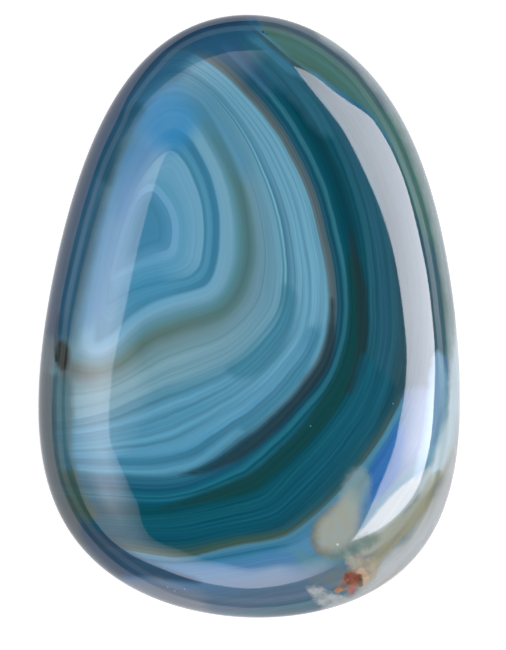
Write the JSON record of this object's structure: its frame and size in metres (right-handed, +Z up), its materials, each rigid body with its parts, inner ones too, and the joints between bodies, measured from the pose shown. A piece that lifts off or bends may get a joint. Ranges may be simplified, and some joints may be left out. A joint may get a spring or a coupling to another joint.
{
  "type": "polished agate",
  "caption": "Egg-shaped polished banded agate pebble, domed on both sides, with a small ground flat underneath that it rests on.",
  "frame": {"origin": "on the resting surface, under the middle of the stone's bounding box", "axes": "+Z up, out of the broad banded face; +Y along the stone's length towards its narrow end; +X across it to the right as seen from above"},
  "size_m": [0.0422, 0.0604, 0.0184],
  "materials": {
    "polished_agate": "hand polished, glossy, with blue-green agate banding"
  },
  "bodies": {
    "root": {"agate": "polished_agate"}
  },
  "joints": []
}
